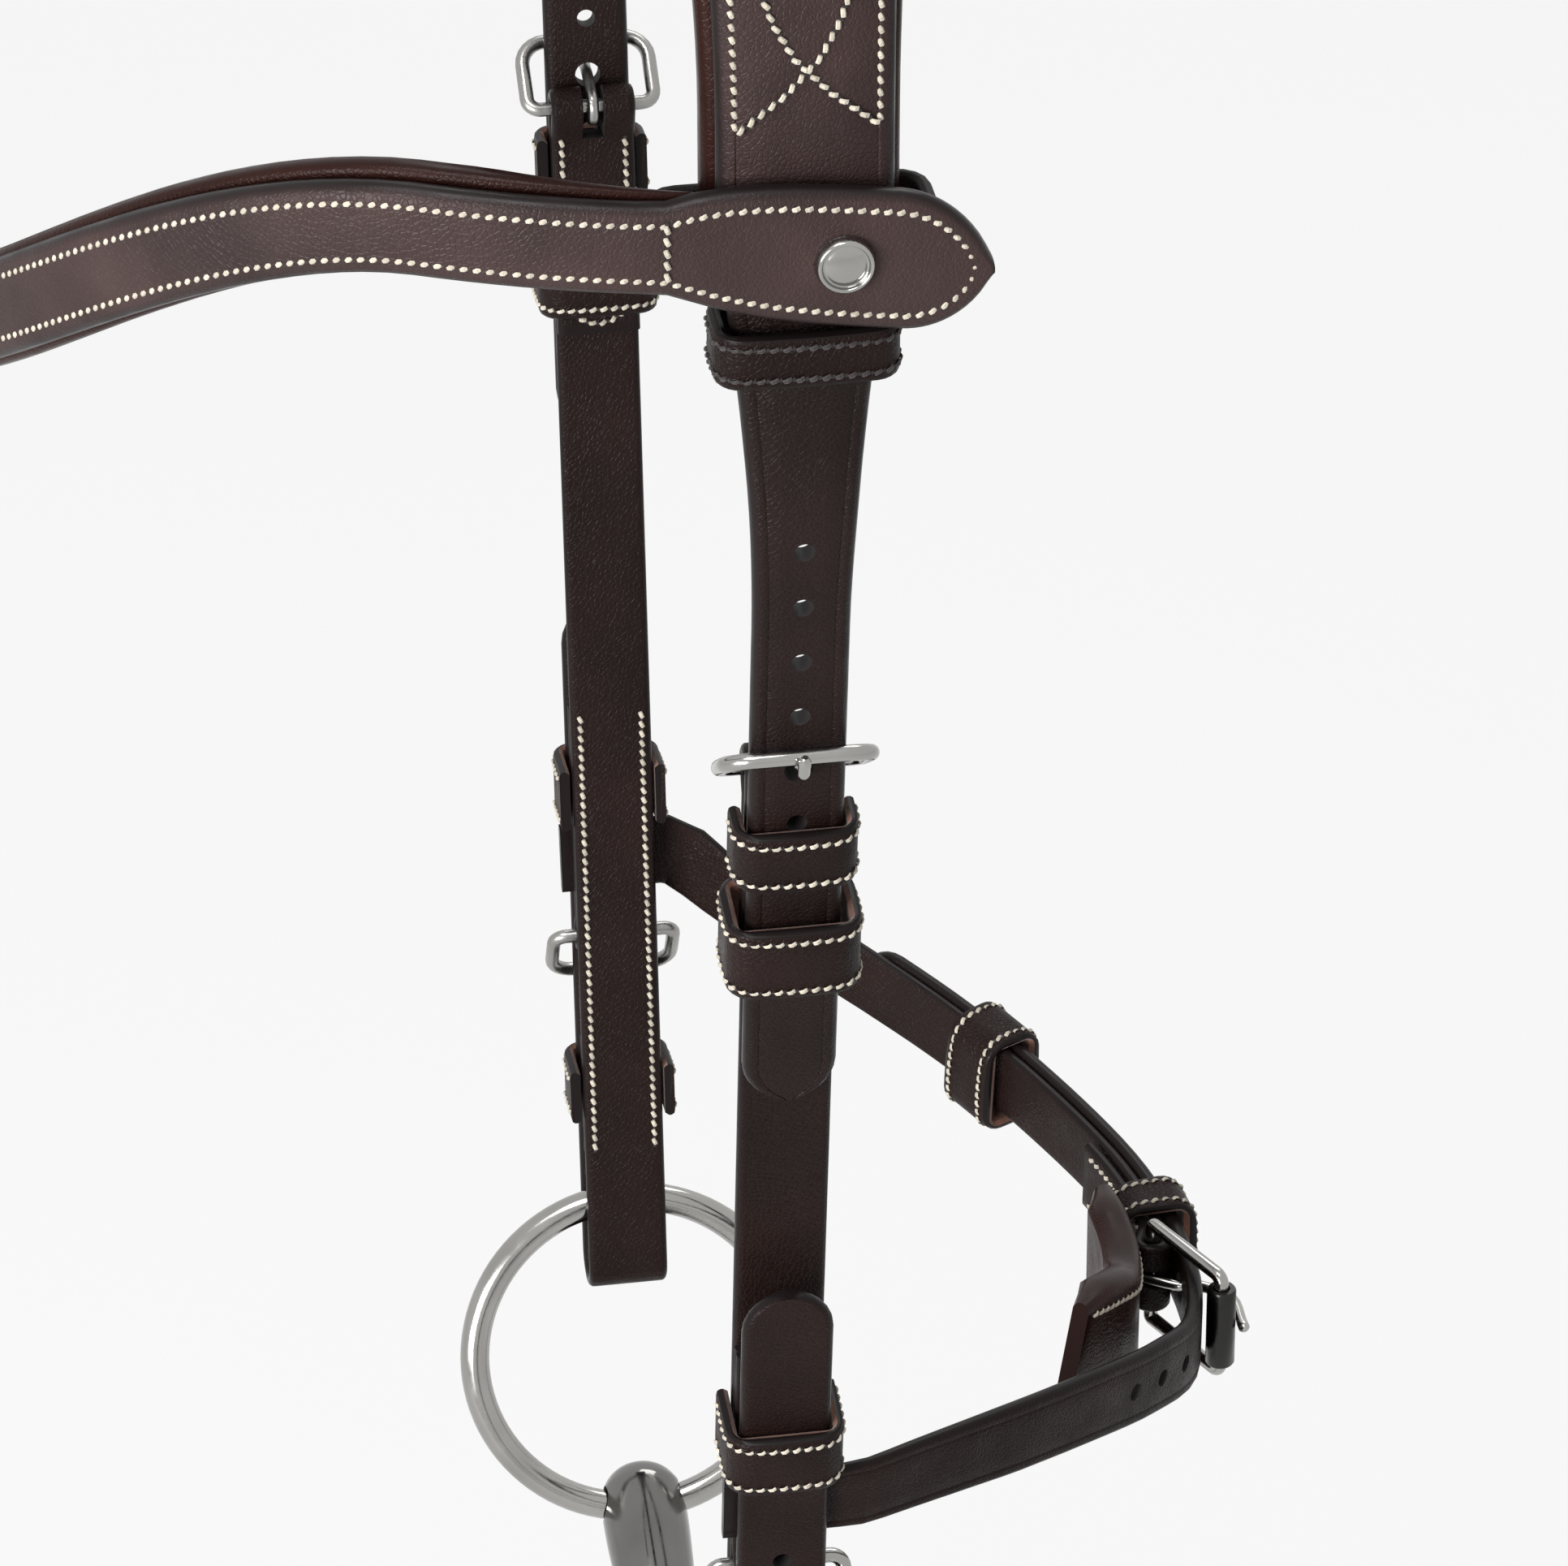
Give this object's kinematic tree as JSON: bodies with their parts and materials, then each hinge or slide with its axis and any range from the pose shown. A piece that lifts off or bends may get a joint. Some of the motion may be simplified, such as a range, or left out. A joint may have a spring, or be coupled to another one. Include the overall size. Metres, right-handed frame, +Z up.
{
  "type": "horse bridle",
  "caption": "Leather horse bridle with padded headpiece, curved padded browband, buckled cheekpieces, jointed loose-ring snaffle bit and a buckled strap behind the jaw",
  "frame": {"origin": "middle of the flat seat under the headpiece pad, where the bridle rests on the horse's poll", "axes": "+Z up, -Y towards the horse's nose, +X the horse's near (left) side"},
  "size_m": [0.2478, 0.2105, 0.5172],
  "materials": {
    "headpiece": "smooth, edge painted",
    "headpiece_pad": "soft padded",
    "headpiece_loop_near": "smooth, edge painted",
    "headpiece_loop_far": "smooth, edge painted",
    "browband": "smooth, edge painted",
    "browband_pad": "soft padded",
    "browband_sleeve_near": "smooth, edge painted",
    "browband_sleeve_far": "smooth, edge painted",
    "browband_stud_near": "polished stainless",
    "browband_stud_far": "polished stainless",
    "cheekpiece_near": "smooth, edge painted",
    "cheekpiece_far": "smooth, edge painted",
    "bit_chape_near": "smooth, edge painted",
    "bit_chape_far": "smooth, edge painted",
    "bit_tab_near": "smooth, edge painted",
    "bit_tab_far": "smooth, edge painted",
    "upper_buckle_near": "polished stainless",
    "upper_buckle_far": "polished stainless",
    "upper_prong_near": "polished stainless",
    "upper_prong_far": "polished stainless",
    "bit_buckle_near": "polished stainless",
    "bit_buckle_far": "polished stainless",
    "bit_prong_near": "polished stainless",
    "bit_prong_far": "polished stainless",
    "upper_keeper_near": "smooth, edge painted",
    "upper_keeper_far": "smooth, edge painted",
    "upper_runner_near": "smooth, tan lined",
    "upper_runner_far": "smooth, tan lined",
    "bit_keeper_near": "smooth, edge painted",
    "bit_keeper_far": "smooth, edge painted",
    "low_keeper_near": "smooth, edge painted",
    "low_keeper_far": "smooth, edge painted",
    "bit_ring_near": "polished stainless",
    "bit_ring_far": "polished stainless",
    "bit_cannon_near": "polished stainless",
    "bit_cannon_far": "polished stainless",
    "jaw_strap_far": "smooth, edge painted",
    "jaw_strap_near": "smooth, edge painted",
    "jaw_buckle": "polished stainless",
    "jaw_roller": "dark polished",
    "jaw_prong": "polished stainless",
    "jaw_keeper": "smooth, edge painted",
    "jaw_runner": "smooth, tan lined",
    "jaw_safe": "soft padded"
  },
  "bodies": {
    "bridle": {"headpiece": "headpiece", "headpiece_pad": "headpiece_pad", "headpiece_loop_near": "headpiece_loop_near", "headpiece_loop_far": "headpiece_loop_far", "cheekpiece_near": "cheekpiece_near", "cheekpiece_far": "cheekpiece_far", "bit_chape_near": "bit_chape_near", "bit_chape_far": "bit_chape_far", "bit_tab_near": "bit_tab_near", "bit_tab_far": "bit_tab_far", "upper_keeper_near": "upper_keeper_near", "upper_keeper_far": "upper_keeper_far", "bit_keeper_near": "bit_keeper_near", "bit_keeper_far": "bit_keeper_far", "low_keeper_near": "low_keeper_near", "low_keeper_far": "low_keeper_far"},
    "browband_body": {"browband": "browband", "browband_pad": "browband_pad", "browband_sleeve_near": "browband_sleeve_near", "browband_sleeve_far": "browband_sleeve_far", "browband_stud_near": "browband_stud_near", "browband_stud_far": "browband_stud_far"},
    "upper_buckle_near_body": {"upper_buckle_near": "upper_buckle_near"},
    "upper_prong_near_body": {"upper_prong_near": "upper_prong_near"},
    "upper_runner_near_body": {"upper_runner_near": "upper_runner_near"},
    "bit_buckle_near_body": {"bit_buckle_near": "bit_buckle_near"},
    "bit_prong_near_body": {"bit_prong_near": "bit_prong_near"},
    "bit_ring_near_body": {"bit_ring_near": "bit_ring_near"},
    "bit_cannon_near_body": {"bit_cannon_near": "bit_cannon_near"},
    "upper_buckle_far_body": {"upper_buckle_far": "upper_buckle_far"},
    "upper_prong_far_body": {"upper_prong_far": "upper_prong_far"},
    "upper_runner_far_body": {"upper_runner_far": "upper_runner_far"},
    "bit_buckle_far_body": {"bit_buckle_far": "bit_buckle_far"},
    "bit_prong_far_body": {"bit_prong_far": "bit_prong_far"},
    "bit_ring_far_body": {"bit_ring_far": "bit_ring_far"},
    "bit_cannon_far_body": {"bit_cannon_far": "bit_cannon_far"},
    "jaw_strap_body": {"jaw_strap_far": "jaw_strap_far", "jaw_strap_near": "jaw_strap_near", "jaw_keeper": "jaw_keeper", "jaw_safe": "jaw_safe"},
    "jaw_buckle_body": {"jaw_buckle": "jaw_buckle"},
    "jaw_roller_body": {"jaw_roller": "jaw_roller"},
    "jaw_prong_body": {"jaw_prong": "jaw_prong"},
    "jaw_runner_body": {"jaw_runner": "jaw_runner"}
  },
  "joints": [
    {"name": "browband_slide", "type": "slide", "parent": "bridle", "child": "browband_body", "axis": [0, 0, 1], "range_m": [0, 0.004]},
    {"name": "upper_buckle_near_hinge", "type": "hinge", "parent": "bridle", "child": "upper_buckle_near_body", "pos_m": [0.10277, 0, -0.21716], "axis": [0, 1, 0], "range_deg": [-4, 0]},
    {"name": "upper_prong_near_hinge", "type": "hinge", "parent": "upper_buckle_near_body", "child": "upper_prong_near_body", "pos_m": [0.10277, 0, -0.21716], "axis": [0, 1, 0], "range_deg": [0, 3]},
    {"name": "bit_buckle_near_hinge", "type": "hinge", "parent": "bridle", "child": "bit_buckle_near_body", "pos_m": [0.08924, 0, -0.37221], "axis": [0, -1, 0], "range_deg": [0, 4]},
    {"name": "bit_prong_near_hinge", "type": "hinge", "parent": "bit_buckle_near_body", "child": "bit_prong_near_body", "pos_m": [0.08924, 0, -0.37221], "axis": [0, -1, 0], "range_deg": [0, 2]},
    {"name": "upper_runner_near_slide", "type": "slide", "parent": "bridle", "child": "upper_runner_near_body", "axis": [-0.1288, 0, -0.9917], "range_m": [-0.005, 0.018]},
    {"name": "upper_buckle_far_hinge", "type": "hinge", "parent": "bridle", "child": "upper_buckle_far_body", "pos_m": [-0.10277, 0, -0.21716], "axis": [0, -1, 0], "range_deg": [-4, 0]},
    {"name": "upper_prong_far_hinge", "type": "hinge", "parent": "upper_buckle_far_body", "child": "upper_prong_far_body", "pos_m": [-0.10277, 0, -0.21716], "axis": [0, -1, 0], "range_deg": [0, 3]},
    {"name": "bit_buckle_far_hinge", "type": "hinge", "parent": "bridle", "child": "bit_buckle_far_body", "pos_m": [-0.08924, 0, -0.37221], "axis": [0, 1, 0], "range_deg": [0, 4]},
    {"name": "bit_prong_far_hinge", "type": "hinge", "parent": "bit_buckle_far_body", "child": "bit_prong_far_body", "pos_m": [-0.08924, 0, -0.37221], "axis": [0, 1, 0], "range_deg": [0, 2]},
    {"name": "upper_runner_far_slide", "type": "slide", "parent": "bridle", "child": "upper_runner_far_body", "axis": [0.1288, 0, -0.9917], "range_m": [-0.005, 0.018]},
    {"name": "bit_ring_near_swing", "type": "hinge", "parent": "bridle", "child": "bit_ring_near_body", "pos_m": [0.08243, 0, -0.42426], "axis": [0, 1, 0], "range_deg": [-2, 4]},
    {"name": "bit_ring_far_swing", "type": "hinge", "parent": "bridle", "child": "bit_ring_far_body", "pos_m": [-0.08243, 0, -0.42426], "axis": [0, 1, 0], "range_deg": [-4, 2]},
    {"name": "bit_cannon_near_turn", "type": "hinge", "parent": "bit_ring_near_body", "child": "bit_cannon_near_body", "pos_m": [0.06115, 0, -0.47693], "axis": [0, 1, 0], "range_deg": [-11.2, 5.6]},
    {"name": "bit_cannon_far_turn", "type": "hinge", "parent": "bit_ring_far_body", "child": "bit_cannon_far_body", "pos_m": [-0.06115, 0, -0.47693], "axis": [0, 1, 0], "range_deg": [-5.6, 11.2]},
    {"name": "jaw_strap_lift", "type": "hinge", "parent": "bridle", "child": "jaw_strap_body", "pos_m": [0, 0, -0.35803], "axis": [1, 0, 0], "range_deg": [0, 6]},
    {"name": "jaw_buckle_hinge", "type": "hinge", "parent": "jaw_strap_body", "child": "jaw_buckle_body", "pos_m": [0.01567, 0.07457, -0.37832], "axis": [-0.0287, -0.0009, 0.9996], "range_deg": [0, 4]},
    {"name": "jaw_roller_spin", "type": "hinge", "parent": "jaw_buckle_body", "child": "jaw_roller_body", "pos_m": [0.03291, 0.08254, -0.37782], "axis": [-0.0287, -0.0009, 0.9996], "continuous": true},
    {"name": "jaw_prong_hinge", "type": "hinge", "parent": "jaw_buckle_body", "child": "jaw_prong_body", "pos_m": [0.01567, 0.07457, -0.37832], "axis": [-0.0287, -0.0009, 0.9996], "range_deg": [0, 2]},
    {"name": "jaw_runner_slide", "type": "slide", "parent": "jaw_strap_body", "child": "jaw_runner_body", "axis": [0.8736, 0.4799, -0.0813], "range_m": [-0.004, 0.004]}
  ],
  "couplings": [
    {"joint": "bit_ring_far_swing", "follows": "bit_ring_near_swing", "ratio": -1},
    {"joint": "bit_cannon_near_turn", "follows": "bit_ring_near_swing", "ratio": -2.8},
    {"joint": "bit_cannon_far_turn", "follows": "bit_ring_near_swing", "ratio": 2.8}
  ]
}
